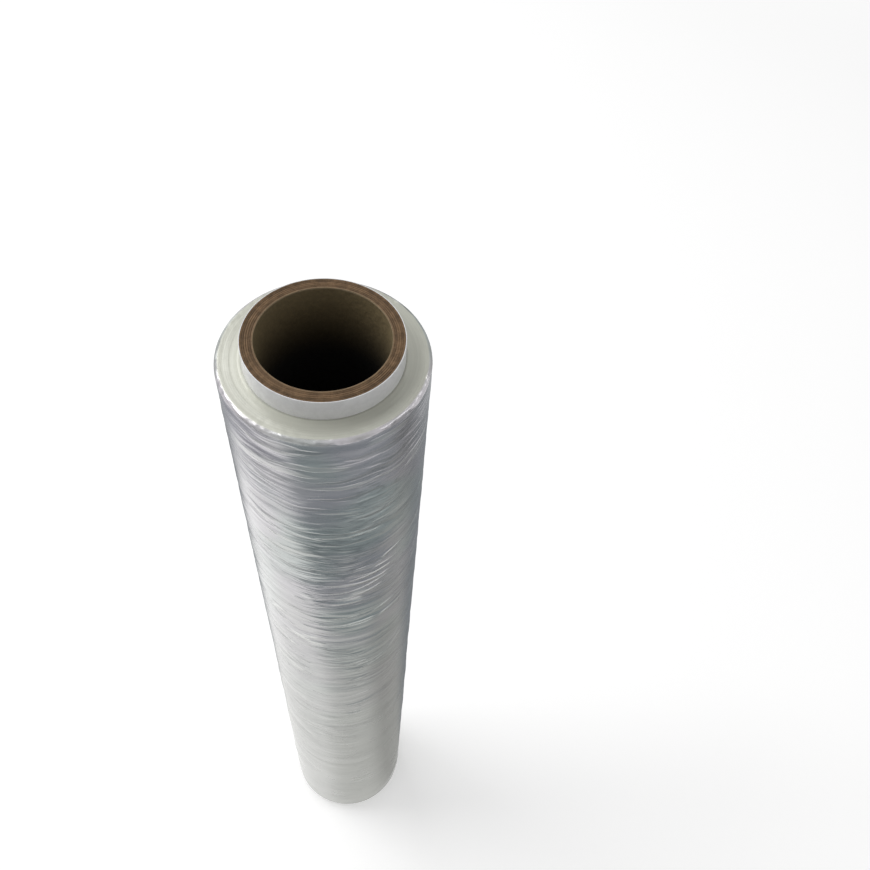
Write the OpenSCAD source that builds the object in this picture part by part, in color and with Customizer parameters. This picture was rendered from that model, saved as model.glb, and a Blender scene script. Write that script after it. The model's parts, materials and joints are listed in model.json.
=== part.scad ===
// A hand roll of clear stretch film, wound on a spiral paperboard core.
// The roll stands on the lower end of its core, with the axis on Z and the floor at z = 0.

/* [Film] */
// Width of the film, measured along the roll
film_w = 500; // [250:10:750]
// Thickness of the wound film, from the core's surface to the outermost turn
film_build = 10.5; // [6:0.5:60]
// Radius of the shoulder where the outer turns have drawn in at each end
shoulder_r = 2.5; // [1:0.25:4]
// Distance along the roll between one gauge band and the next
band_pitch = 6; // [4:0.5:20]
// Depth of the deepest valley between two gauge bands
band_depth = 0.3; // [0.05:0.05:0.6]
// Radial distance between the turn edges that stand out on an end face
turn_pitch = 1; // [0.5:0.1:2]
// Depth of the deepest turn edge below the rim of an end face
turn_relief = 0.25; // [0.05:0.05:0.5]
// How far the last turn stands proud where its free end lies on the turn below
tail_step = 0.12; // [0.05:0.01:0.2]
// Where the free end lies, in degrees round the roll from +X
tail_at = 82; // [0:1:360]

/* [Core] */
// Bore of the core, which takes the spindle or the hand plugs
core_bore = 50.8; // [38:0.1:77]
// Thickness of one ply of brown board
ply_t = 0.8; // [0.5:0.05:1.2]
// Number of brown plies
ply_count = 6; // [3:1:12]
// Width of the open line between two plies at a cut end
ply_line_w = 0.24; // [0.1:0.02:0.4]
// Depth of that line
ply_line_d = 0.25; // [0.05:0.05:0.6]
// Thickness of the white cover paper
cover_t = 0.3; // [0.1:0.05:0.6]
// Length of core that stands out past the film at each end
stick_out = 9.5; // [3:0.5:40]

/* [Hidden] */
$fn = 96;

bore_r = core_bore / 2;
board_r = bore_r + ply_t * ply_count;
cover_r = board_r + cover_t;
film_r = cover_r + film_build;
core_len = film_w + 2 * stick_out;
film_z0 = stick_out;
film_z1 = film_z0 + film_w;

// Straight steps in the quarter round of each shoulder
shoulder_steps = 6;
// How deep the outer turns' solid reaches into the inner turns' under an end face
outer_root = 1;

// The angle from one index to the next, and each pattern's start, which keep the patterns from repeating
scatter_turn = 137.5;
band_phase = 20;
lower_face_phase = 70;
upper_face_phase = 200;

// A number from 0 to 1 that looks random and is always the same for the same index
function scatter(i, phase) = 0.5 + 0.5 * sin(i * scatter_turn + phase);

// The film surface between the shoulders, from the lower end to the upper, with its gauge bands
band_count = max(2, round((film_w - 2 * shoulder_r) / band_pitch));
band_step = (film_w - 2 * shoulder_r) / band_count;
function band_surface(r) = [
    for (i = [0 : band_count])
        let (at_shoulder = i == 0 || i == band_count)
        [
            r - (at_shoulder ? 0 : band_depth * scatter(i, band_phase)),
            film_z0 + shoulder_r + i * band_step
        ]
];

// The shoulder of the upper end, a quarter round from the side to the end face
function shoulder(r) = [
    for (i = [1 : shoulder_steps])
        let (a = 90 * i / shoulder_steps)
        [r - shoulder_r * (1 - cos(a)), film_z1 - shoulder_r * (1 - sin(a))]
];

// The upper end face of the inner turns, from under the shoulder in to the core. Its turn edges wander, and
// all of them lie a little deeper than the rim of the outer turns.
face_w = film_build - shoulder_r;
turn_count = max(2, floor(face_w / turn_pitch));
turn_step = face_w / turn_count;
function end_face(phase) = [
    for (i = [0 : turn_count])
        [
            cover_r + face_w - (i == 0 ? tail_step : i * turn_step),
            film_z1 - turn_relief * (1 + scatter(i, phase)) / 2
        ]
];

// The upper edge of the outer turns, from their surface to where they end inside the inner turns
function outer_edge(r) =
    let (rim_r = r - shoulder_r - turn_step / 2)
    concat(shoulder(r), [[rim_r, film_z1], [rim_r - outer_root, film_z1 - outer_root]]);

function reversed(list) = [for (i = [len(list) - 1 : -1 : 0]) list[i]];
function upside_down(list) = [for (p = list) [p[0], core_len - p[1]]];

module inner_turns() {
    rotate_extrude()
        polygon(concat(
            upside_down(reversed(end_face(lower_face_phase))),
            end_face(upper_face_phase)
        ));
}

// Half a round of the outer turns
module half_round(r) {
    rotate_extrude(angle = 180)
        polygon(concat(upside_down(reversed(outer_edge(r))), band_surface(r), outer_edge(r)));
}

// The outer turns wind in by one step in a full turn: half a turn about the core's axis, and half a turn
// about an axis half a step away. The halves meet smoothly on one side, and the other is the free end.
module outer_turns() {
    half_step = tail_step / 2;
    half_round(film_r);
    translate([-half_step, 0, 0])
        rotate([0, 0, 180])
            half_round(film_r - half_step);
}

module film_roll() {
    color([0.86, 0.88, 0.84])
    union() {
        inner_turns();
        rotate([0, 0, tail_at]) outer_turns();
    }
}

// The lower cut end of the board, from the bore outwards: flat lands with an open line after each ply,
// where the last line is half a line because the cover paper closes it
function cut_end() = concat(
    [[bore_r, 0]],
    [
        for (i = [1 : ply_count - 1], side = [-1, 0, 1])
            [bore_r + i * ply_t + side * ply_line_w / 2, side == 0 ? ply_line_d : 0]
    ],
    [[board_r - ply_line_w / 2, 0], [board_r, ply_line_d]]
);

module core_tube() {
    color([0.48, 0.36, 0.26])
    rotate_extrude()
        polygon(concat(cut_end(), upside_down(reversed(cut_end()))));
}

module core_cover_paper() {
    color([0.93, 0.93, 0.94])
    rotate_extrude()
        translate([board_r, 0])
            square([cover_t, core_len]);
}

core_tube();
core_cover_paper();
film_roll();
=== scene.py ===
"""A hand roll of clear stretch film on a paperboard core, with its stage, lights and camera."""

import json
import math
import random
from functools import partial

import bpy
from bpy.props import FloatProperty, FloatVectorProperty, IntProperty, PointerProperty
from mathutils import Matrix, Vector


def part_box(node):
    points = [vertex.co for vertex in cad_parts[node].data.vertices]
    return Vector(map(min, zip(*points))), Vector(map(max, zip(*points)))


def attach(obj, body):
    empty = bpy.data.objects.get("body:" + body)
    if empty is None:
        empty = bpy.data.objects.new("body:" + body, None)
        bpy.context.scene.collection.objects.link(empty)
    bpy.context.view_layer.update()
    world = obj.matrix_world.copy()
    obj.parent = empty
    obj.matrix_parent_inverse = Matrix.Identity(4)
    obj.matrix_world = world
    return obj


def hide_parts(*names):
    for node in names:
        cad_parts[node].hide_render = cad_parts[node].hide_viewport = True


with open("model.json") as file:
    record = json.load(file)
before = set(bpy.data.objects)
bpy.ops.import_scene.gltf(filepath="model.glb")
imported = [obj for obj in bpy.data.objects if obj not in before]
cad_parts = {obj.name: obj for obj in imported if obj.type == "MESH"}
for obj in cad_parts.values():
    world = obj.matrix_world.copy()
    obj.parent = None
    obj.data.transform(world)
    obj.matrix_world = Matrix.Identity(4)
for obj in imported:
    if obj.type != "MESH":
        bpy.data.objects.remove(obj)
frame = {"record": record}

bl_info = {
    "name": "Stretch Wrap Roll",
    "version": (1, 0, 0),
    "blender": (4, 5, 0),
    "location": "View3D > Sidebar > Roll",
    "description": "Builds a roll of stretch film on a paperboard core around its packed solids",
    "category": "Object",
}

BODY = "root"
MM = 0.001


def outer_radius(node):
    """The radius of a round node about the Z axis, from its box."""
    low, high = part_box(node)
    return max(high.x, high.y, -low.x, -low.y)


def mount_radius(name):
    """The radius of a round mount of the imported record, in metres."""
    mount = next(m for m in frame["record"]["mounts"] if m["name"] == name)
    return mount["dims"]["r_mm"] * MM


CORE_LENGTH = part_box("core_tube")[1].z
BORE_R = mount_radius("core_bore")
BOARD_R = outer_radius("core_tube")
COVER_R = outer_radius("core_cover_paper")
FILM_R = outer_radius("film_roll")
FILM_Z0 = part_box("film_roll")[0].z
FILM_Z1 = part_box("film_roll")[1].z

# Faces: round the board and the paper, along the bore, and from the film's side to its end face
BOARD_COLUMNS = 224
PAPER_COLUMNS = 256
BORE_ROWS = 64
SHOULDER_STEPS = 7
# The two columns of points at the film's free end stand this angle apart
STEP_ANGLE = math.radians(0.06)


# Node trees


class Value:
    """A number at one output of a node tree, so that formulas can be written with + - * and /."""

    def __init__(self, tree, socket):
        self.tree = tree
        self.socket = socket

    def __add__(self, other):
        return self.tree.math("ADD", self, other)

    def __sub__(self, other):
        return self.tree.math("SUBTRACT", self, other)

    def __rsub__(self, other):
        return self.tree.math("SUBTRACT", other, self)

    def __mul__(self, other):
        return self.tree.math("MULTIPLY", self, other)

    def __truediv__(self, other):
        return self.tree.math("DIVIDE", self, other)

    def __rtruediv__(self, other):
        return self.tree.math("DIVIDE", other, self)

    def __abs__(self):
        return self.tree.math("ABSOLUTE", self)

    __radd__ = __add__
    __rmul__ = __mul__


class Tree:
    """Adds nodes to a node tree. An input is a number, a vector, a colour or another node's output."""

    def __init__(self, tree):
        self.tree = tree

    def node(self, kind, values=(), **options):
        """Adds one node, sets its options, then its inputs by name or place."""
        node = self.tree.nodes.new(kind)
        for name, value in options.items():
            setattr(node, name, value)
        for key, value in dict(values).items():
            self.feed(node.inputs[key], value)
        return node

    def feed(self, socket, value):
        """Links an output to the input, or sets the input's own value."""
        if isinstance(value, Value):
            value = value.socket
        if isinstance(value, bpy.types.NodeSocket):
            self.tree.links.new(value, socket)
        else:
            socket.default_value = value

    def number(self, kind, values=(), output=0, **options):
        """One output of a new node, as a number for formulas."""
        return Value(self, self.node(kind, values, **options).outputs[output])

    def math(self, operation, a, b=0.0, clamp=False):
        """A Math node's result."""
        return self.number("ShaderNodeMath", {0: a, 1: b}, operation=operation, use_clamp=clamp)

    def remap(self, value, low, high, to_low=0.0, to_high=1.0):
        """The value moved from one range to another, held within it, with a soft start and end."""
        values = {"Value": value, 1: low, 2: high, 3: to_low, 4: to_high}
        return self.number("ShaderNodeMapRange", values, interpolation_type="SMOOTHSTEP")

    def soft_min(self, a, b, softness):
        """The smaller of two numbers, with a rounded change from one to the other."""
        return self.number("ShaderNodeMath", {0: a, 1: b, 2: softness}, operation="SMOOTH_MIN")

    def from_half(self, value):
        """How far a value lies from one half, as a share from 0 to 1."""
        return abs(value * 2.0 - 1.0)

    def from_whole(self, value):
        """How far a value lies from the nearest whole number, from 0 to 0.5."""
        return 0.5 - abs(self.math("FRACT", value) - 0.5)

    def combine(self, x, y, z):
        """A vector from its three parts."""
        return self.node("ShaderNodeCombineXYZ", {0: x, 1: y, 2: z}).outputs[0]

    def split(self, vector):
        """The three parts of a vector."""
        return [Value(self, part) for part in self.node("ShaderNodeSeparateXYZ", {0: vector}).outputs]

    def scaled(self, vector, scale):
        """A vector times a number."""
        return self.node("ShaderNodeVectorMath", {0: vector, "Scale": scale}, operation="SCALE").outputs[0]

    def length(self, vector):
        """The length of a vector."""
        return self.number("ShaderNodeVectorMath", {0: vector}, "Value", operation="LENGTH")

    def object_place(self):
        """A material's place on the piece, as a vector and as its three parts."""
        place = self.node("ShaderNodeTexCoord").outputs["Object"]
        return place, *self.split(place)

    def noise(self, vector, seed, detail=2.0, roughness=0.5, distortion=0.0):
        """Noise from 0 to 1 at a place, with the seed as its fourth coordinate."""
        values = {"Vector": vector, "W": seed, "Scale": 1.0, "Detail": detail, "Roughness": roughness}
        values["Distortion"] = distortion
        return self.number("ShaderNodeTexNoise", values, noise_dimensions="4D")

    def cloud(self, place, scale, seed, detail, **options):
        """Noise with features of one size in all directions: scale is how many fit in a metre."""
        return self.noise(self.scaled(place, scale), seed, detail, **options)

    def mix(self, factor, a, b):
        """A colour between a and b."""
        node = self.node("ShaderNodeMix", {0: factor}, data_type="RGBA")
        self.feed(node.inputs[6], a)
        self.feed(node.inputs[7], b)
        return node.outputs[2]


def new_group(name, kind, inputs, outputs):
    """A node group. An input is given by its default number or by its socket's kind, an output by the kind.
    Returns the group's tree, its inputs by name and its output node."""
    group = bpy.data.node_groups.new(name, kind)
    for socket, value in inputs.items():
        socket_kind = value if isinstance(value, str) else type(value).__name__.title()
        item = group.interface.new_socket(socket, in_out="INPUT", socket_type="NodeSocket" + socket_kind)
        if not isinstance(value, str):
            item.default_value = value
    for socket, socket_kind in outputs.items():
        group.interface.new_socket(socket, in_out="OUTPUT", socket_type="NodeSocket" + socket_kind)
    tree = Tree(group)
    given = {socket.name: Value(tree, socket) for socket in tree.node("NodeGroupInput").outputs if socket.name}
    return tree, given, tree.node("NodeGroupOutput")


def shared_group(name, build):
    """A node group by its name, built when it is first asked for."""
    return bpy.data.node_groups.get(name) or build(name)


def add_shared(tree, name, build, values):
    """Places a shared group in a material's tree with the material's own values. Returns its outputs."""
    node = tree.node("ShaderNodeGroup", values, node_tree=shared_group(name, build))
    return [Value(tree, socket) for socket in node.outputs]


def new_material(name):
    """A material with an empty Principled BSDF. Returns it, its tree and the shader."""
    material = bpy.data.materials.new(name)
    material.use_nodes = True
    tree = Tree(material.node_tree)
    return material, tree, material.node_tree.nodes["Principled BSDF"]


def add_bump(tree, shader, height, strength, depth):
    """Feeds a height into the shader's normal. A height of 1 stands out by the depth."""
    bump = tree.node("ShaderNodeBump", {"Strength": strength, "Distance": depth, "Height": height})
    tree.feed(shader.inputs["Normal"], bump.outputs[0])


def shade(colour, share=1.0):
    """The colour made darker or lighter by a share, with full alpha."""
    return (*(share * part for part in colour), 1.0)


# Meshes


def revolve(name, profile, angles, radius_shift=None, turn_shift=None):
    """A closed mesh from a closed profile of (r, z, {attribute: value}) points, turned about the Z axis.

    The profile runs with the solid on its left. radius_shift(angle) and turn_shift(angle, z) move the points
    outwards and round the axis."""
    rows = len(profile)
    columns = len(angles)
    points = []
    for angle in angles:
        shift = radius_shift(angle) if radius_shift else 0.0
        for r, z, marks in profile:
            turned = angle + (turn_shift(angle, z) if turn_shift else 0.0)
            reach = r + shift * marks.get("spiral", 0.0)
            points.append((reach * math.cos(turned), reach * math.sin(turned), z))
    faces = []
    for i in range(columns):
        here = i * rows
        there = (i + 1) % columns * rows
        for j in range(rows):
            k = (j + 1) % rows
            faces.append((here + j, there + j, there + k, here + k))
    mesh = bpy.data.meshes.new(name)
    mesh.from_pydata(points, [], faces)
    for mark in sorted({key for _, _, marks in profile for key in marks}):
        attribute = mesh.attributes.new(mark, "FLOAT", "POINT")
        values = [marks.get(mark, 0.0) for _, _, marks in profile] * columns
        attribute.data.foreach_set("value", values)
    mesh.validate()
    return mesh


def even_angles(count):
    """Angles that share the full turn evenly."""
    return [math.tau * i / count for i in range(count)]


def new_object(name, mesh):
    """An object in the scene from a mesh."""
    piece = bpy.data.objects.new(name, mesh)
    bpy.context.scene.collection.objects.link(piece)
    return piece


def apply_tree(piece, group, values):
    """Runs a geometry node group on the piece, keeps the result as its plain mesh and removes the modifier."""
    modifier = piece.modifiers.new(group.name, "NODES")
    modifier.node_group = group
    names = {item.name: item.identifier for item in group.interface.items_tree if item.in_out == "INPUT"}
    for name, value in values.items():
        modifier[names[name]] = value
    bpy.context.view_layer.update()
    result = piece.evaluated_get(bpy.context.evaluated_depsgraph_get())
    mesh = bpy.data.meshes.new_from_object(result)
    piece.modifiers.remove(modifier)
    if not mesh.polygons:
        raise RuntimeError(group.name + " left nothing of " + piece.name)
    piece.data = mesh
    mesh.name = piece.name


def finish_piece(piece, node, sharp_angle):
    """Smooths the faces between edges sharper than an angle in degrees, and ties the piece to the frame."""
    piece.data.polygons.foreach_set("use_smooth", [True] * len(piece.data.polygons))
    piece.data.set_sharp_from_angle(angle=math.radians(sharp_angle))
    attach(piece, BODY)
    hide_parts(node)


def sunk_ends(tree, z, middle, drop):
    """An offset that moves the points of both ends towards the middle by a drop."""
    return tree.combine(0.0, 0.0, tree.math("SIGN", middle - z) * drop)


def end_geometry(tree, given, result, offset):
    """Ends a geometry tree: moves the points, makes instances real and sets the material."""
    moved = tree.node("GeometryNodeSetPosition", {"Geometry": given["Geometry"], "Offset": offset})
    real = tree.node("GeometryNodeRealizeInstances", {"Geometry": moved.outputs[0]})
    dressed = tree.node("GeometryNodeSetMaterial", {"Geometry": real.outputs[0], "Material": given["Material"]})
    tree.feed(result.inputs[0], dressed.outputs[0])
    return tree.tree


def stored(tree, name):
    """A geometry tree's value of a mesh attribute."""
    return tree.number("GeometryNodeInputNamedAttribute", {"Name": name}, data_type="FLOAT")


# Settings


LengthProperty = partial(FloatProperty, unit="LENGTH")
ColourProperty = partial(FloatVectorProperty, subtype="COLOR")


class FilmSettings(bpy.types.PropertyGroup):
    """Sizes and colours of the wound film."""

    row_height: LengthProperty(name="Row Height", description="Height of the side's rows of faces", default=0.85 * MM)
    columns: IntProperty(name="Columns", description="Faces round the roll", default=140)
    shoulder: LengthProperty(name="Shoulder", description="Radius of the drawn-in edge at each end", default=2.0 * MM)
    turn_edge: LengthProperty(name="Turn Edge Pitch", description="Distance between the turn edges", default=0.32 * MM)
    turn_relief: LengthProperty(name="Turn Relief", description="Depth of the turn edges", default=0.03 * MM)
    tail_angle: FloatProperty(
        name="Free End", description="Angle of the film's free end", default=math.radians(82), subtype="ANGLE"
    )
    tail_step: LengthProperty(name="Free End Step", description="How far the free end stands proud", default=0.12 * MM)
    tail_wave: LengthProperty(name="Free End Wave", description="How far the free end wanders", default=1.6 * MM)
    inset: LengthProperty(name="Inset", description="Mean depth of the side inside its solid", default=0.22 * MM)
    band_pitch: LengthProperty(name="Band Pitch", description="Distance between gauge bands", default=9 * MM)
    band_depth: LengthProperty(name="Band Depth", description="Depth between gauge bands", default=0.42 * MM)
    ring_pitch: LengthProperty(name="Ring Pitch", description="Distance between fine rings", default=4.4 * MM)
    ring_depth: LengthProperty(name="Ring Depth", description="Depth of the fine rings", default=0.26 * MM)
    wave_depth: LengthProperty(name="Wave Depth", description="Depth of the waves along the rings", default=0.42 * MM)
    wrinkle_size: LengthProperty(name="Wrinkle Size", description="Size of the slanting wrinkles", default=14 * MM)
    wrinkle_depth: LengthProperty(name="Wrinkle Depth", description="Depth of the slanting wrinkles", default=0.28 * MM)
    seed: IntProperty(name="Seed", description="Chooses one pattern of rings and wrinkles", default=4)
    side_colour: ColourProperty(name="Side Colour", description="Colour of the side", default=(0.48, 0.485, 0.462))
    face_colour: ColourProperty(name="End Colour", description="Colour of the end faces", default=(0.49, 0.495, 0.43))


class BoardSettings(bpy.types.PropertyGroup):
    """Sizes and colours of the core's brown board."""

    plies: IntProperty(name="Plies", description="Number of brown plies", default=6)
    line_width: LengthProperty(name="Line Width", description="Width of the open line between plies", default=0.24 * MM)
    line_depth: LengthProperty(name="Line Depth", description="Depth of the open line between plies", default=0.18 * MM)
    fuzz: LengthProperty(name="Cut Roughness", description="Height of the torn fibres on a cut end", default=0.10 * MM)
    fuzz_size: LengthProperty(name="Cut Grain", description="Size of the torn fibres on a cut end", default=0.9 * MM)
    fibre_length: LengthProperty(name="Fibre Length", description="Length of the board's fibres", default=1.6 * MM)
    seam_pitch: LengthProperty(name="Seam Pitch", description="Rise of the bore's seam in one turn", default=92 * MM)
    seed: IntProperty(name="Seed", description="Chooses one pattern of fibres", default=11)
    colour: ColourProperty(name="Board Colour", description="Colour of the board", default=(0.158, 0.0985, 0.0535))
    bore_colour: ColourProperty(name="Bore Colour", description="Colour of the bore", default=(0.215, 0.165, 0.085))
    edge_colour: ColourProperty(name="Inner Edge", description="Colour of the bore's edge", default=(0.36, 0.27, 0.17))
    # The lip colour is a painted highlight, where light catches the bore's edge
    lip_colour: ColourProperty(name="Lip Highlight", description="Colour of the bore's lip", default=(0.40, 0.31, 0.20))


class PaperSettings(bpy.types.PropertyGroup):
    """Sizes and colours of the core's white cover paper."""

    fuzz: LengthProperty(name="Cut Roughness", description="Height of the cut edge's torn fibres", default=0.12 * MM)
    fuzz_size: LengthProperty(name="Cut Grain", description="Size of the cut edge's torn fibres", default=2.2 * MM)
    fibre_length: LengthProperty(name="Fibre Length", description="Length of the paper's fibres", default=2.4 * MM)
    seam_pitch: LengthProperty(name="Seam Pitch", description="Rise of the paper's seam in one turn", default=100 * MM)
    seed: IntProperty(name="Seed", description="Chooses one pattern of fibres", default=23)
    colour: ColourProperty(name="Paper Colour", description="Colour of the cover paper", default=(0.88, 0.88, 0.89))


class StageSettings(bpy.types.PropertyGroup):
    """Floor and lights, and the tones that the film mirrors."""

    floor_colour: ColourProperty(name="Floor Colour", description="Colour of the floor", default=(0.80, 0.80, 0.80))
    floor_glow: FloatProperty(name="Floor Whiteness", description="Light added where the floor is seen", default=0.42)
    sky: FloatProperty(name="Surround", description="Strength of the even light all round", default=0.26)
    key: FloatProperty(name="Key Light", description="Power of the lamp above", default=60.0, subtype="POWER")
    rim: FloatProperty(name="Rim Light", description="Power of the low lamps on the rim", default=0.88, subtype="POWER")
    front_near: ColourProperty(name="Front, Near", description="Mirrored low in front", default=(0.69, 0.695, 0.67))
    front_tone: ColourProperty(name="Front", description="Mirrored high in front", default=(0.235, 0.275, 0.30))
    front_far: ColourProperty(name="Front, Far", description="Mirrored from far in front", default=(0.62, 0.66, 0.68))
    left_near: ColourProperty(name="Left, Near", description="Mirrored low on the left", default=(0.79, 0.79, 0.78))
    left_tone: ColourProperty(name="Left", description="Mirrored midway on the left", default=(1.0, 1.0, 1.0))
    left_far: ColourProperty(name="Left, Far", description="Mirrored high on the left", default=(0.20, 0.215, 0.25))
    left_light: FloatProperty(name="Left Light", description="Strength of the tones mirrored on the left", default=1.22)
    right_near: ColourProperty(name="Right, Near", description="Mirrored low on the right", default=(0.4, 0.4, 0.385))
    right_tone: ColourProperty(name="Right", description="Mirrored midway on the right", default=(0.42, 0.425, 0.415))
    right_far: ColourProperty(name="Right, Far", description="Mirrored high on the right", default=(0.17, 0.175, 0.18))
    back_tone: ColourProperty(name="Back", description="Mirrored in the back", default=(0.21, 0.225, 0.24))
    far_tone: ColourProperty(name="Far", description="Mirrored from far all round", default=(0.74, 0.755, 0.76))
    band_light: FloatProperty(name="Band Light", description="Strength of the upright light bands far out", default=1.2)
    band_gap: FloatProperty(name="Band Gap", description="Share of the far tone between the bands", default=0.62)


# The wound film


# The last turn's free end wavers: each wave's length along the roll, and its share
TAIL_WAVES = ((0.31, 1.0), (0.093, 0.45), (0.041, 0.2))
# The relief is held within this soft distance below the solid's side
SOFT_LIMIT = 0.3 * MM
# The settings that the relief takes as inputs
RELIEF_SIZES = (
    "Inset", "Band Pitch", "Band Depth", "Ring Pitch", "Ring Depth", "Wave Depth", "Wrinkle Size", "Wrinkle Depth",
    "Turn Relief",
)


def wavy_level(tree, place, z, seed):
    """The height along the roll as its turns run: a little aslant and wavy round the roll."""
    slow = tree.cloud(place, 9.0, seed, 1.0) - 0.5
    quick = tree.cloud(place, 62.0, seed, 1.0) - 0.5
    return z + slow * (16 * MM) + quick * (4.5 * MM)


def end_rows(film, rng, face_z, up):
    """The rows from a shoulder's start, over the end face and in to the core."""
    rows = []
    for i in range(1, SHOULDER_STEPS + 1):
        a = math.radians(90) * i / SHOULDER_STEPS
        r = FILM_R - film.shoulder * (1 - math.cos(a))
        z = face_z - up * film.shoulder * (1 - math.sin(a))
        share = 1 - i / SHOULDER_STEPS
        rows.append((r, z, {"side": share, "spiral": 1.0, "face": 1 - share}))
    rim = FILM_R - film.shoulder
    count = round((rim - COVER_R) / film.turn_edge)
    for i in range(1, count + 1):
        r = rim + (COVER_R - rim) * i / count
        depth = film.turn_relief * (0.25 + 0.75 * rng.random())
        rows.append((r, face_z - up * depth, {"face": 1.0}))
    return rows


def film_profile(film, rng):
    """The film's section as a closed loop: up the outer side, in over the upper end, down the core, out below."""
    side_low = FILM_Z0 + film.shoulder
    side_high = FILM_Z1 - film.shoulder
    rows = round((side_high - side_low) / film.row_height)
    loop = []
    for i in range(rows + 1):
        loop.append((FILM_R, side_low + (side_high - side_low) * (i / rows), {"side": 1.0, "spiral": 1.0}))
    loop += end_rows(film, rng, FILM_Z1, 1.0)
    loop += reversed(end_rows(film, rng, FILM_Z0, -1.0))
    return loop


def film_angles(film):
    """The columns' angles, with a close pair where the free end makes its step."""
    angles = [film.tail_angle + math.tau * i / film.columns for i in range(film.columns)]
    return angles + [film.tail_angle + math.tau - STEP_ANGLE]


def film_tree(name):
    """The geometry nodes that give the wound side its bands, rings and wrinkles, and the ends their uneven turns."""
    inputs = {"Geometry": "Geometry", **dict.fromkeys(RELIEF_SIZES, 0.001)}
    inputs.update({"Low End": 0.0, "High End": 1.0, "Seed": 0, "Material": "Material"})
    tree, given, result = new_group(name, "GeometryNodeTree", inputs, {"Geometry": "Geometry"})
    place = tree.node("GeometryNodeInputPosition").outputs[0]
    x, y, z = tree.split(place)
    outward = tree.node("ShaderNodeVectorMath", {0: tree.combine(x, y, 0.0)}, operation="NORMALIZE").outputs[0]
    seed = given["Seed"]
    band_pitch, ring_pitch = given["Band Pitch"], given["Ring Pitch"]
    level = wavy_level(tree, place, z, seed)

    def drawn_out(along, pitch, offset, detail):
        """Noise with features one pitch high that run far round the roll."""
        return tree.noise(tree.combine(x * along, y * along, level / pitch), seed + offset, detail)

    def ridge(value, sharpness):
        """Thin lines where the value passes one half."""
        return tree.math("POWER", 1.0 - tree.from_half(value), sharpness)

    # Where along the roll each kind of relief shows
    height_share = tree.remap(z, given["Low End"], given["High End"])
    low_part = tree.remap(height_share, 0.78, 0.45)
    upper_part = tree.remap(height_share, 0.20, 0.92, 0.45, 0.85)
    wrinkle_seed = seed + 17.9
    rough = tree.cloud(place, 26.0, wrinkle_seed + 8.0, 1.0)
    wavy_part = tree.remap(rough, 0.38, 0.62, 0.35, 1.0) * upper_part
    patches = tree.remap(tree.cloud(place, 14.0, wrinkle_seed + 3.0, 1.0), 0.42, 0.62)
    crumpled_part = patches * low_part * tree.remap(height_share, 0.16, 0.40)

    bands = drawn_out(14.0, band_pitch, 1.3, 1.0) - 0.5
    swells = drawn_out(24.0, band_pitch * 2.2, 21.7, 1.0) - 0.5
    rings = drawn_out(27.0, ring_pitch, 5.1, 0.8) - 0.5
    waves = drawn_out(36.0, ring_pitch, 13.3, 0.6) - 0.5
    lines = ridge(drawn_out(34.0, ring_pitch * 1.6, 9.7, 1.0), 4.0)
    reach = 1.0 / given["Wrinkle Size"]
    slant = tree.combine(x * reach, y * reach, level * reach * 2.8)
    folds = ridge(tree.noise(slant, wrinkle_seed, 1.5, distortion=1.2), 2.5)

    depth = bands * given["Band Depth"] - given["Inset"]
    depth += swells * low_part * given["Band Depth"] * 2.4
    depth += rings * upper_part * given["Ring Depth"]
    depth += waves * wavy_part * given["Wave Depth"]
    depth -= lines * upper_part * given["Ring Depth"] * 0.5
    depth -= folds * crumpled_part * given["Wrinkle Depth"]
    depth = tree.soft_min(depth, 0.0, SOFT_LIMIT)
    side_offset = tree.scaled(outward, depth * stored(tree, "side"))

    # The turn edges wander up and down round each end face
    drop = tree.cloud(place, 70.0, seed, 2.0) * given["Turn Relief"] * stored(tree, "face")
    end_offset = sunk_ends(tree, z, (given["Low End"] + given["High End"]) * 0.5, drop)
    offset = tree.node("ShaderNodeVectorMath", {0: side_offset, 1: end_offset}, operation="ADD").outputs[0]
    return end_geometry(tree, given, result, offset)


def past_free_end(tree, film, phases, x, y, z):
    """The distance round the roll from the last turn's free end: above 0 on the last turn, below 0 on the turn
    beneath it."""
    waver = sum(
        tree.math("SINE", z * (math.tau / length) + phase) * share
        for (length, share), phase in zip(TAIL_WAVES, phases)
    )
    end = waver * film.tail_wave + film.tail_angle * FILM_R
    return tree.math("ARCTAN2", y, x) * FILM_R - end


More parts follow.
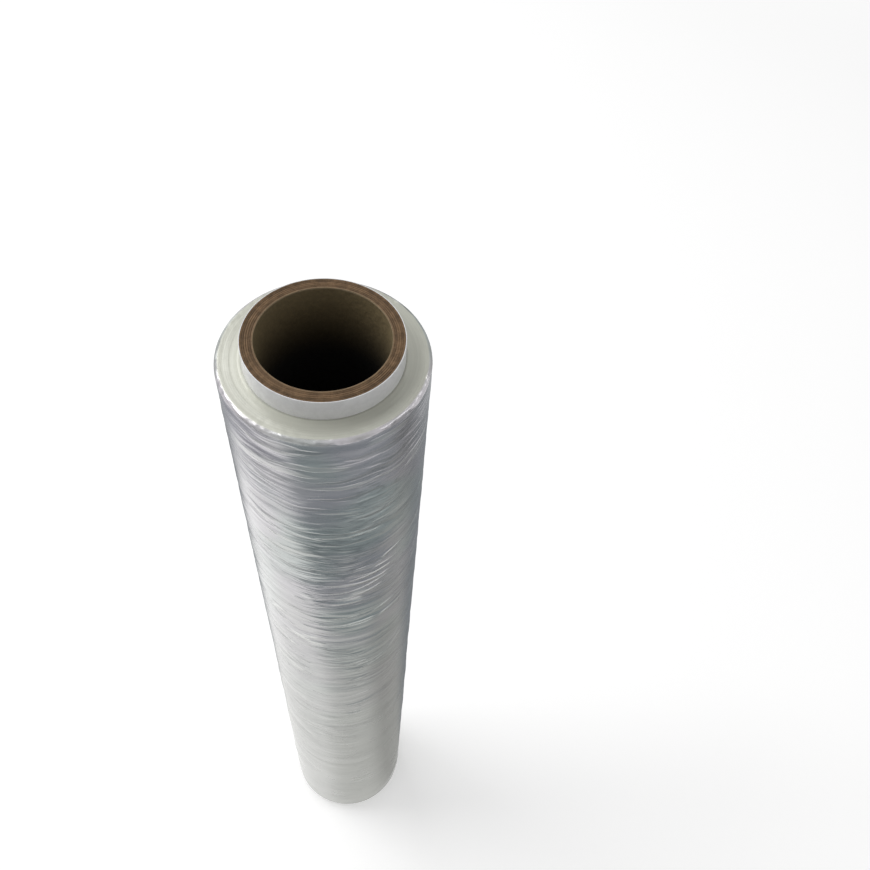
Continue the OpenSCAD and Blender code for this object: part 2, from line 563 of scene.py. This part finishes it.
def film_material(film, phases):
    """Clear film in many turns: silvery and glossy on the side, satin and faintly green on the ends."""
    material, tree, shader = new_material("wound clear film")
    place, x, y, z = tree.object_place()
    radius = tree.length(tree.combine(x, y, 0.0))
    face = tree.number("ShaderNodeAttribute", output="Fac", attribute_name="face")
    level = wavy_level(tree, place, z, film.seed)
    upper = tree.remap(z, 0.12, 0.46)

    def rings(along, per_metre, offset, detail):
        """Noise drawn out round the roll, with so many rings to a metre of its height."""
        return tree.noise(tree.combine(x * along, y * along, level * per_metre), film.seed + offset, detail)

    def cloud(per_metre, offset, detail):
        """Noise with so many features to a metre."""
        return tree.cloud(place, per_metre, film.seed + offset, detail)

    def creases(lean, offset):
        """Short lens-shaped folds that run aslant round the roll and hang lowest at the front."""
        where = tree.combine(x * 14.0, y * 14.0, (z - y * lean) * 115.0)
        line = tree.remap(tree.from_half(tree.noise(where, film.seed + offset, 0.5)), 0.11, 0.0)
        spots = tree.remap(cloud(44.0, offset + 5.0, 0.5), 0.56, 0.66)
        heights = tree.remap(z, 0.46, 0.42) * tree.remap(z, 0.06, 0.26)
        return line * spots * heights * tree.remap(y, 0.025, -0.015, 0.3, 1.0)

    def tinted(*shares):
        """The side's colour with each part made darker or lighter by its share."""
        return (*(part * share for part, share in zip(film.side_colour, shares)), 1.0)

    # Lines, creases and bends of the stretched turns: relief, with painted highlights and painted shade in their colour
    fine = rings(26.0, 620.0, 2.0, 1.0)
    broad = rings(10.0, 60.0, 6.0, 2.0)
    mottle = cloud(22.0, 9.0, 3.0)
    light_lines = tree.remap(rings(27.0, 225.0, 21.0, 0.8), 0.57, 0.65) * upper
    dark_lines = tree.remap(rings(25.0, 250.0, 31.0, 0.8), 0.57, 0.65) * upper
    patches = tree.remap(rings(40.0, 90.0, 41.0, 2.0), 0.45, 0.70)
    folds_and_glints = tree.math("MAXIMUM", creases(0.45, 257.0), creases(0.15, 271.0))
    bends_and_shade = tree.from_half(rings(60.0, 400.0, 101.0, 1.0))
    crinkled = tree.remap(cloud(30.0, 111.0, 1.0), 0.38, 0.58) * tree.remap(z, 0.02, 0.34, 0.40, 1.0)

    # The free end: a painted shade beneath it, and a painted highlight on its edge and on a strip of the last turn next
    # to it
    past = past_free_end(tree, film, phases, x, y, z)
    beneath = tree.remap(past, -1.4 * MM, -0.2 * MM) * tree.remap(past, 0.1 * MM, -0.1 * MM)
    on_last_turn = tree.remap(past, 0.0, 0.2 * MM)
    end_strip_highlight = tree.remap(past, 9.0 * MM, 0.6 * MM) * on_last_turn
    edge = tree.remap(past, 1.1 * MM, 0.5 * MM) * on_last_turn

    # The shoulder, with the dull spots of its gathered turns
    on_shoulder = face * (1.0 - face)
    dull_spots = tree.remap(cloud(52.0, 91.0, 1.5), 0.42, 0.58)
    dull = dull_spots * on_shoulder * 4.0

    tint = tree.remap(cloud(24.0, 71.0, 1.0), 0.40, 0.60)
    cool = tree.mix(tint, tinted(0.93, 1.0, 1.02), tinted(1.02, 0.97, 1.08))
    side = tree.mix(upper, tinted(1.0, 1.0, 1.0), cool)
    for amount, shares in (
        (tree.remap(broad + mottle, 1.20, 0.75) * 0.35, (0.68, 0.68, 0.68)),
        # Lighter and darker ring lines: in part a milky tone, in part painted highlight and painted shade lines
        (light_lines * 0.45, (1.35, 1.35, 1.35)),
        (dark_lines * 0.3, (0.5, 0.5, 0.5)),
        # Painted glints: the folds are made lighter in colour, as if they caught the light
        (folds_and_glints * 0.55, (1.75, 1.75, 1.75)),
        # Painted shade along the bends of the crinkled turns
        (tree.remap(bends_and_shade, 0.13, 0.0) * crinkled * 0.45, (0.42, 0.43, 0.45)),
        # Painted shade beneath the free end
        (beneath * 0.6, (0.42, 0.43, 0.45)),
        # Painted highlight on the free end's edge and on the strip beside it
        (edge * 0.6 + end_strip_highlight * 0.25, (1.75, 1.75, 1.75)),
        (dull * 0.5, (0.55, 0.55, 0.55)),
    ):
        side = tree.mix(amount, side, tinted(*shares))

    # The end faces: fine turn edges, painted light near the core, and a painted shade line at its foot
    turns = tree.noise(tree.combine(radius * 2600.0, x * 12.0, y * 12.0), film.seed + 12.0)
    ends = tree.mix(tree.remap(turns, 0.35, 0.65), shade(film.face_colour, 0.90), shade(film.face_colour))
    # Painted light: the face is made lighter towards the core
    painted_light_near_core = tree.remap(radius, COVER_R + 5.5 * MM, COVER_R)
    ends = tree.mix(painted_light_near_core, ends, shade(film.face_colour, 1.12))
    # Painted shade: a thin dark line where the film's face meets the paper
    painted_joint_shade = tree.remap(radius, COVER_R + 0.9 * MM, COVER_R + 0.3 * MM)
    ends = tree.mix(painted_joint_shade * 0.5, ends, shade(film.face_colour, 0.5))
    flat = tree.remap(face, 0.75, 1.0)
    tree.feed(shader.inputs["Base Color"], tree.mix(flat, side, ends))

    silver = 0.72 - light_lines * 0.15 - patches * 0.16
    tree.feed(shader.inputs["Metallic"], silver * tree.remap(flat, 0.0, 1.0, 1.0, 0.3))
    rough = tree.remap(mottle, 0.3, 0.7, 0.12, 0.24) + tree.remap(z, 0.10, 0.34, 0.12, 0.0)
    rough += on_shoulder * 0.5 + dull * 0.35 + flat * 0.16
    tree.feed(shader.inputs["Roughness"], rough)
    tree.feed(shader.inputs["Coat Weight"], tree.remap(flat, 0.0, 1.0, 0.7, 0.4) - on_shoulder * 1.6)
    shader.inputs["Coat Roughness"].default_value = 0.06
    shader.inputs["Coat IOR"].default_value = 1.5

    gathers = cloud(200.0, 81.0, 1.0) - 0.5
    side_relief = fine * upper * 0.55 + (light_lines - dark_lines) * 1.2
    side_relief += folds_and_glints * 5.0 - bends_and_shade * crinkled * 3.2 + gathers * on_shoulder * 75.0
    near_rim = tree.remap(radius, FILM_R - 8 * MM, FILM_R - 2 * MM)
    face_relief = gathers * near_rim * dull_spots * 6.0 + turns * 0.35
    add_bump(tree, shader, side_relief * (1.0 - flat) + face_relief * flat, 0.8, 0.10 * MM)
    return material


class ROLL_OT_wound_film(bpy.types.Operator):
    """Winds the film on the core"""

    bl_idname = "roll.wound_film"
    bl_label = "Wound Film"

    def execute(self, context):
        film = context.scene.roll_film
        rng = random.Random(film.seed)
        phases = [rng.uniform(0, math.tau) for _ in TAIL_WAVES]

        def spiral(angle):
            """How far the side sinks in its last turn, down to the step at the free end."""
            share = (angle - film.tail_angle) / math.tau
            return -film.tail_step * min(max(share, 0.0), 1.0)

        def wander(angle, z):
            """How far the columns near the free end follow its waves, as an angle."""
            wave = sum(
                math.sin(z * math.tau / length + phase) * share for (length, share), phase in zip(TAIL_WAVES, phases)
            )
            away = (angle - film.tail_angle + math.pi) % math.tau - math.pi
            near = 0.5 + 0.5 * math.cos(min(abs(away) * 2, math.pi))
            return film.tail_wave / FILM_R * wave * near

        mesh = revolve("wound_film", film_profile(film, rng), film_angles(film), spiral, wander)
        piece = new_object("wound_film", mesh)
        values = {size: getattr(film, size.lower().replace(" ", "_")) for size in RELIEF_SIZES}
        values.update({"Low End": FILM_Z0, "High End": FILM_Z1, "Seed": film.seed})
        values["Material"] = film_material(film, phases)
        apply_tree(piece, shared_group("Wound Film Relief", film_tree), values)
        finish_piece(piece, "film_roll", 35.0)
        return {"FINISHED"}


# The core


def fibre_group(name):
    """Paper fibres, shared by the brown board and the white paper: a mask for colour and a height."""
    inputs = {"Vector": "Vector", "Fibre Length": 0.002, "Seed": 0.0}
    tree, given, result = new_group(name, "ShaderNodeTree", inputs, {"Mask": "Float", "Height": "Float"})
    place = tree.scaled(given["Vector"], 1.0 / given["Fibre Length"])
    coarse = tree.noise(place, given["Seed"], 3.0, roughness=0.6, distortion=0.8)
    fine = tree.cloud(place, 4.5, given["Seed"], 2.0, distortion=1.5)
    tree.feed(result.inputs["Mask"], tree.remap(coarse, 0.35, 0.68))
    tree.feed(result.inputs["Height"], coarse + fine * 0.5)
    return tree.tree


def seam_group(name):
    """A seam that winds round the Z axis, shared by the board and the paper: how far along the axis a point lies
    from it, as a share of the pitch, from 0 on it to 0.5."""
    inputs = {"Vector": "Vector", "Pitch": 0.1, "Phase": 0.0}
    tree, given, result = new_group(name, "ShaderNodeTree", inputs, {"Distance": "Float"})
    x, y, z = tree.split(given["Vector"])
    turn = tree.math("ARCTAN2", y, x) / math.tau
    tree.feed(result.inputs["Distance"], tree.from_whole(z / given["Pitch"] - turn + given["Phase"]))
    return tree.tree


def fibres(tree, place, settings):
    """Places the fibres in a material's tree. Returns their mask and height."""
    values = {"Vector": place, "Fibre Length": settings.fibre_length, "Seed": settings.seed}
    return add_shared(tree, "Paper Fibres", fibre_group, values)


def seam(tree, place, settings, phase):
    """Places the spiral seam in a material's tree. Returns the distance from it."""
    values = {"Vector": place, "Pitch": settings.seam_pitch, "Phase": phase}
    return add_shared(tree, "Spiral Seam", seam_group, values)[0]


def cut_end_tree(name):
    """The geometry nodes that roughen a cut end: its vertices sink by an uneven depth towards the middle."""
    inputs = {"Geometry": "Geometry", "Depth": 0.0001, "Grain": 0.001, "Middle": 0.0, "Seed": 0}
    inputs["Material"] = "Material"
    tree, given, result = new_group(name, "GeometryNodeTree", inputs, {"Geometry": "Geometry"})
    place = tree.node("GeometryNodeInputPosition").outputs[0]
    z = tree.split(place)[2]
    torn = tree.cloud(place, 1.0 / given["Grain"], given["Seed"], 2.0, roughness=0.65)
    drop = torn * given["Depth"] * stored(tree, "cut")
    return end_geometry(tree, given, result, sunk_ends(tree, z, given["Middle"], drop))


def make_core_piece(name, rows, columns, settings, material, node):
    """Turns a section into a piece of the core and roughens its cut ends."""
    piece = new_object(name, revolve(name, rows, even_angles(columns)))
    values = {
        "Depth": settings.fuzz,
        "Grain": settings.fuzz_size,
        "Middle": CORE_LENGTH / 2,
        "Seed": settings.seed,
        "Material": material,
    }
    apply_tree(piece, shared_group("Cut End Relief", cut_end_tree), values)
    finish_piece(piece, node, 50.0)


def board_profile(board):
    """The board's section as a closed loop: in over the upper plies, down the bore, out below and up the side."""
    ply = (BOARD_R - BORE_R) / board.plies
    half_line = board.line_width / 2

    def cut_rows(face_z, up):
        """Rows over a cut end, from the outer side in to the bore: each ply starts at an open line."""
        rows = []
        for i in range(board.plies, 0, -1):
            outer = BORE_R + ply * i
            rows.append((outer, face_z - up * board.line_depth, {"cut": 0.2}))
            # The innermost ply ends at the bore, the others at the next open line
            width = ply - (half_line if i == 1 else board.line_width)
            for share in (0.0, 0.12, 0.5, 0.88, 1.0):
                edge_drop = 0.105 * board.line_depth if share in (0.0, 1.0) else 0.0
                rows.append((outer - half_line - width * share, face_z - up * edge_drop, {"cut": 1.0}))
        return rows

    bore = [(BORE_R, CORE_LENGTH * (1 - i / BORE_ROWS), {}) for i in range(1, BORE_ROWS)]
    return cut_rows(CORE_LENGTH, 1.0) + bore + cut_rows(0.0, -1.0)[::-1]


def board_material(board):
    """Brown board: plies at the cut ends, and a smooth brown-grey bore with its slanting seam."""
    material, tree, shader = new_material("brown core board")
    place, x, y, z = tree.object_place()
    radius = tree.length(tree.combine(x, y, 0.0))
    mask, height = fibres(tree, place, board)

    def cloud(per_metre, offset, detail):
        """Noise with so many features to a metre."""
        return tree.cloud(place, per_metre, board.seed + offset, detail)

    # The cut ends: each ply has its own tone, with a dark line to the next one
    ply_place = (radius - BORE_R) / ((BOARD_R - BORE_R) / board.plies) + (cloud(120.0, 7.0, 2.0) - 0.5) * 0.35
    ply_index = tree.math("FLOOR", ply_place + 0.001)
    ply_tone = tree.number("ShaderNodeTexWhiteNoise", {"W": ply_index}, "Value", noise_dimensions="1D")
    blotch = tree.remap(cloud(330.0, 4.0, 3.0), 0.36, 0.64)
    tone = ply_tone * 0.40 + mask * 0.25 + blotch * 0.35
    cut_colour = tree.mix(tone, shade(board.colour, 0.5), shade(board.colour, 1.5))
    in_line = tree.remap(tree.from_whole(ply_place), 0.20, 0.03)
    glued = tree.remap(tree.remap(cloud(48.0, 9.0, 1.0), 0.40, 0.60), 0.0, 1.0, 0.2, 1.0)
    off_bore = tree.remap(ply_place, 0.25, 0.5)
    cut_colour = tree.mix(in_line * glued * off_bore, cut_colour, shade(board.colour, 0.3))
    inner_edge = tree.math("SUBTRACT", 1.0, abs(ply_place * 3.2 - 1.4), clamp=True)
    cut_colour = tree.mix(inner_edge * 0.3, cut_colour, shade(board.edge_colour))

    # The bore: painted shade that darkens it with its depth, a faint seam, and a painted highlight on its lip
    seam_line = tree.remap(seam(tree, place, board, 0.35), 0.008, 0.002)
    bore_colour = tree.mix(mask, shade(board.bore_colour, 0.86), shade(board.bore_colour))
    bore_colour = tree.mix(seam_line * 0.6, bore_colour, shade(board.bore_colour, 0.4))
    # Painted shade: the bore turns near black with its depth
    from_end = tree.math("MINIMUM", z, CORE_LENGTH - z)
    bore_colour = tree.mix(tree.remap(from_end, -4 * MM, 39 * MM), bore_colour, (0.006, 0.005, 0.004, 1.0))
    # Painted highlight on the lip at each end of the bore
    lip = tree.remap(from_end, 0.9 * MM, 0.5 * MM)
    bore_colour = tree.mix(lip * 0.85, bore_colour, shade(board.lip_colour))
    in_bore = tree.remap(radius, BORE_R + 0.12 * MM, BORE_R + 0.02 * MM)

    tree.feed(shader.inputs["Base Color"], tree.mix(in_bore, cut_colour, bore_colour))
    shader.inputs["Roughness"].default_value = 0.82
    shader.inputs["Specular IOR Level"].default_value = 0.25
    add_bump(tree, shader, height - seam_line * in_bore + blotch * 0.8, 0.9, 0.22 * MM)
    return material


class ROLL_OT_core_board(bpy.types.Operator):
    """Makes the brown board of the core"""

    bl_idname = "roll.core_board"
    bl_label = "Core Board"

    def execute(self, context):
        board = context.scene.roll_board
        make_core_piece(
            "core_board", board_profile(board), BOARD_COLUMNS, board, board_material(board), "core_tube"
        )
        return {"FINISHED"}


def paper_profile():
    """The paper's section as a closed loop: up the outer side, over the upper edge, down inside, out below."""
    # The outer side has rows only where it stands free of the film
    free_rows = [FILM_Z0 * share for share in (0.04, 0.2, 0.4, 0.6, 0.8, 1.0)]
    rounded = COVER_R - 0.05 * MM
    middle = (BOARD_R + COVER_R) / 2
    inner_z = 0.03 * MM
    rows = [(COVER_R, z, {}) for z in free_rows]
    rows += [(COVER_R, CORE_LENGTH - z, {}) for z in reversed(free_rows)]
    rows += [(rounded, CORE_LENGTH, {"cut": 0.6}), (middle, CORE_LENGTH, {"cut": 0.6})]
    rows += [(BOARD_R, CORE_LENGTH - inner_z, {}), (BOARD_R, inner_z, {})]
    return rows + [(middle, 0.0, {"cut": 0.6}), (rounded, 0.0, {"cut": 0.6})]


def paper_material(paper):
    """White cover paper with fine fibres and a faint slanting seam."""
    material, tree, shader = new_material("white cover paper")
    place = tree.node("ShaderNodeTexCoord").outputs["Object"]
    mask, height = fibres(tree, place, paper)
    seam_line = tree.remap(seam(tree, place, paper, 0.12), 0.006, 0.0015)
    colour = tree.mix(mask, shade(paper.colour, 0.93), shade(paper.colour))
    colour = tree.mix(seam_line * 0.35, colour, shade(paper.colour, 0.6))
    tree.feed(shader.inputs["Base Color"], colour)
    shader.inputs["Roughness"].default_value = 0.36
    add_bump(tree, shader, height * 0.4 - seam_line, 0.4, 0.08 * MM)
    return material


class ROLL_OT_cover_paper(bpy.types.Operator):
    """Wraps the core in its white cover paper"""

    bl_idname = "roll.cover_paper"
    bl_label = "Cover Paper"

    def execute(self, context):
        paper = context.scene.roll_paper
        make_core_piece(
            "cover_paper", paper_profile(), PAPER_COLUMNS, paper, paper_material(paper), "core_cover_paper",
        )
        return {"FINISHED"}


# The stage


# The camera: its place in metres, its angles in degrees and its lens in millimetres
CAMERA_PLACE = (0.00431, -0.21841, 0.75724)
CAMERA_PITCH = 53.684
CAMERA_AZIMUTH = 10.516
CAMERA_ROLL = 5.888
CAMERA_LENS = 36.26

FLOOR_REACH = 6.0
# The mirrored ring: its inner and outer radius, its height off the floor, and its wall's top and soft top edge
RING_INNER = 0.043
RING_OUTER = 5.6
RING_LIFT = 1 * MM
WALL_TOP = 3.6
WALL_FADE = 2.2
RING_COLUMNS = 48
# The upright light bands far out, seen mirrored from low down: heading and half width in degrees
FAR_BANDS = ((14, 20), (104, 24), (172, 15), (226, 20), (302, 22))


def stage_piece(name, points, faces, material):
    """A piece of the stage from its points and faces."""
    mesh = bpy.data.meshes.new(name)
    mesh.from_pydata(points, [], faces)
    mesh.materials.append(material)
    piece = new_object(name, mesh)
    return piece


def ring_material(stage):
    """The tones that the film mirrors: a blue-grey front, bright flanks and a grey back near the roll, and
    upright light and darker bands far out."""
    material, tree, shader = new_material("mirrored ring")
    material.node_tree.nodes.remove(shader)
    x, y, z = tree.object_place()[1:]
    radius = tree.length(tree.combine(x, y, 0.0))

    def toward(degrees, half_width, soft, start=0.0):
        """A mask for the directions within half_width of a heading, with a soft edge. It widens with distance
        where start is above 0."""
        a = math.radians(degrees)
        along = x * math.cos(a) + y * math.sin(a)
        cosine = along / radius - start / tree.math("MAXIMUM", radius, 0.2)
        edges = [math.cos(math.radians(half_width + side * soft)) for side in (1, -1)]
        return tree.remap(cosine, *edges)

    def by_distance(side, steps, light=1.0):
        """One side's tone, which changes with the distance from the roll over two soft steps."""
        near, middle, far = (shade(getattr(stage, side + part), light) for part in ("_near", "_tone", "_far"))
        tone = tree.mix(tree.remap(radius, steps[2], steps[3]), middle, far)
        return tree.mix(tree.remap(radius, steps[0], steps[1]), near, tone)

    far_tone = shade(stage.far_tone)
    left = by_distance("left", (0.09, 0.24, 0.335, 0.45), stage.left_light)
    right = by_distance("right", (0.12, 0.24, 0.26, 0.40))
    right = tree.mix(tree.remap(radius, 0.42, 0.60), right, far_tone)
    front = by_distance("front", (0.12, 0.258, 0.29, 0.62))
    back = tree.mix(tree.remap(radius, 0.34, 0.56), shade(stage.back_tone), far_tone)
    tone = tree.mix(toward(0, 66, 24), left, right)
    tone = tree.mix(toward(76, 60, 20), tone, back)
    tone = tree.mix(toward(282, 89, 14, 0.168), tone, front)
    lit = 0.0
    for degrees, half_width in FAR_BANDS:
        lit = tree.math("MAXIMUM", toward(degrees, half_width, 9), lit)
    bands = tree.mix(lit, shade(stage.far_tone, stage.band_gap), shade((stage.band_light,) * 3))
    tone = tree.mix(tree.remap(radius, 0.42, 0.66), tone, bands)
    glow = tree.node("ShaderNodeEmission", {"Color": tone}).outputs[0]
    clear = tree.node("ShaderNodeBsdfTransparent").outputs[0]
    blend = tree.node("ShaderNodeMixShader", {0: tree.remap(z, WALL_TOP, WALL_FADE), 1: clear, 2: glow})
    tree.feed(material.node_tree.nodes["Material Output"].inputs["Surface"], blend.outputs[0])
    return material


def add_mirrored_ring(stage):
    """A flat ring with an upright wall on its outer edge, which only mirror rays see. It casts no light and hides
    nothing."""
    rows = ((RING_INNER, RING_LIFT), (RING_OUTER, RING_LIFT), (RING_OUTER, WALL_TOP))
    points = [(r * math.cos(a), r * math.sin(a), z) for a in even_angles(RING_COLUMNS) for r, z in rows]
    faces = []
    for i in range(RING_COLUMNS):
        here, there = 3 * i, 3 * ((i + 1) % RING_COLUMNS)
        faces += [(here + k, here + k + 1, there + k + 1, there + k) for k in (0, 1)]
    ring = stage_piece("mirrored_ring", points, faces, ring_material(stage))
    for kind in ("camera", "diffuse", "shadow", "transmission", "volume_scatter"):
        setattr(ring, "visible_" + kind, False)


def seen_ray(tree):
    """1 where a thing is seen directly, in a mirror or through glass, and 0 where it only casts light."""
    path = tree.node("ShaderNodeLightPath").outputs
    seen = tree.math("MAXIMUM", path["Is Camera Ray"], path["Is Glossy Ray"])
    return tree.math("MAXIMUM", seen, path["Is Transmission Ray"])


def floor_material(stage):
    """The pale floor. Seen directly or in a mirror it is lifted to white, and it keeps its shadows."""
    material, tree, shader = new_material("pale floor")
    shader.inputs["Base Color"].default_value = shade(stage.floor_colour)
    shader.inputs["Roughness"].default_value = 0.9
    shader.inputs["Specular IOR Level"].default_value = 0.0
    shader.inputs["Emission Color"].default_value = (1.0, 1.0, 1.0, 1.0)
    away = tree.length(tree.object_place()[0])
    glow = tree.remap(away, 1.3, 3.4, stage.floor_glow, 1.0)
    tree.feed(shader.inputs["Emission Strength"], seen_ray(tree) * glow)
    return material


def add_lamp(name, place, aim, size, power):
    """A soft lamp at a place, which points at a height on the roll's axis."""
    lamp = bpy.data.lights.new(name, "AREA")
    lamp.shape = "RECTANGLE"
    lamp.size, lamp.size_y = size
    lamp.energy = power
    holder = new_object(name, lamp)
    holder.location = place
    holder.rotation_euler = (Vector((0, 0, aim)) - Vector(place)).to_track_quat("-Z", "Y").to_euler()


def add_camera():
    """The camera, at the height, angle and lens of the view that the roll is made for."""
    camera = bpy.data.cameras.new("camera")
    camera.sensor_fit = "HORIZONTAL"
    camera.sensor_width = 36.0
    camera.lens = CAMERA_LENS
    camera.clip_start = 0.01
    holder = new_object("camera", camera)
    turn = (
        Matrix.Rotation(math.radians(-CAMERA_AZIMUTH), 4, "Z")
        @ Matrix.Rotation(math.radians(90 - CAMERA_PITCH), 4, "X")
        @ Matrix.Rotation(math.radians(CAMERA_ROLL), 4, "Z")
    )
    holder.matrix_world = Matrix.Translation(CAMERA_PLACE) @ turn
    bpy.context.scene.camera = holder


class ROLL_OT_stage(bpy.types.Operator):
    """Sets the floor, the light and the camera"""

    bl_idname = "roll.stage"
    bl_label = "Stage"

    def execute(self, context):
        stage = context.scene.roll_stage
        corners = [(x * FLOOR_REACH, y * FLOOR_REACH, 0) for x, y in ((-1, -1), (1, -1), (1, 1), (-1, 1))]
        stage_piece("floor", corners, [(0, 1, 2, 3)], floor_material(stage))
        add_mirrored_ring(stage)

        add_lamp("key", (-2.2, 0.9, 3.0), 0.4, (1.8, 1.8), stage.key)
        add_lamp("sheen", (-1.1, 2.0, 3.0), 0.5, (1.4, 1.4), stage.key * 0.35)
        add_lamp("fill", (2.4, -0.4, 2.0), 0.3, (1.6, 1.6), stage.key * 0.15)
        add_lamp("left_rim", (-0.70, -0.26, 1.10), 0.5, (0.7, 0.16), stage.rim)
        add_lamp("right_rim", (0.62, -0.39, 1.10), 0.5, (0.25, 0.16), stage.rim * 0.25)

        world = bpy.data.worlds.new("surround")
        world.use_nodes = True
        tree = Tree(world.node_tree)
        background = world.node_tree.nodes["Background"]
        background.inputs["Color"].default_value = (1.0, 1.0, 1.0, 1.0)
        tree.feed(background.inputs["Strength"], tree.remap(seen_ray(tree), 0.0, 1.0, stage.sky, 1.0))
        context.scene.world = world
        add_camera()
        context.scene.view_settings.view_transform = "Standard"
        return {"FINISHED"}


# The add-on


class ROLL_PT_panel(bpy.types.Panel):
    """Lists the pieces of the roll"""

    bl_idname = "ROLL_PT_panel"
    bl_label = "Stretch Wrap Roll"
    bl_space_type = "VIEW_3D"
    bl_region_type = "UI"
    bl_category = "Roll"

    def draw(self, context):
        for operator in OPERATORS:
            self.layout.operator(operator.bl_idname)


SETTINGS = {
    "roll_film": FilmSettings,
    "roll_board": BoardSettings,
    "roll_paper": PaperSettings,
    "roll_stage": StageSettings,
}
OPERATORS = (ROLL_OT_wound_film, ROLL_OT_core_board, ROLL_OT_cover_paper, ROLL_OT_stage)
CLASSES = (*SETTINGS.values(), *OPERATORS, ROLL_PT_panel)


def register():
    """Registers the classes and gives the scene its settings."""
    for item in CLASSES:
        bpy.utils.register_class(item)
    for name, kind in SETTINGS.items():
        setattr(bpy.types.Scene, name, PointerProperty(type=kind))


def unregister():
    """Takes the settings and the classes away again."""
    for name in SETTINGS:
        delattr(bpy.types.Scene, name)
    for item in reversed(CLASSES):
        bpy.utils.unregister_class(item)


def main():
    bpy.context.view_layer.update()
    register()
    bpy.ops.roll.wound_film()
    bpy.ops.roll.core_board()
    bpy.ops.roll.cover_paper()
    bpy.ops.roll.stage()


if __name__ == "__main__":
    main()
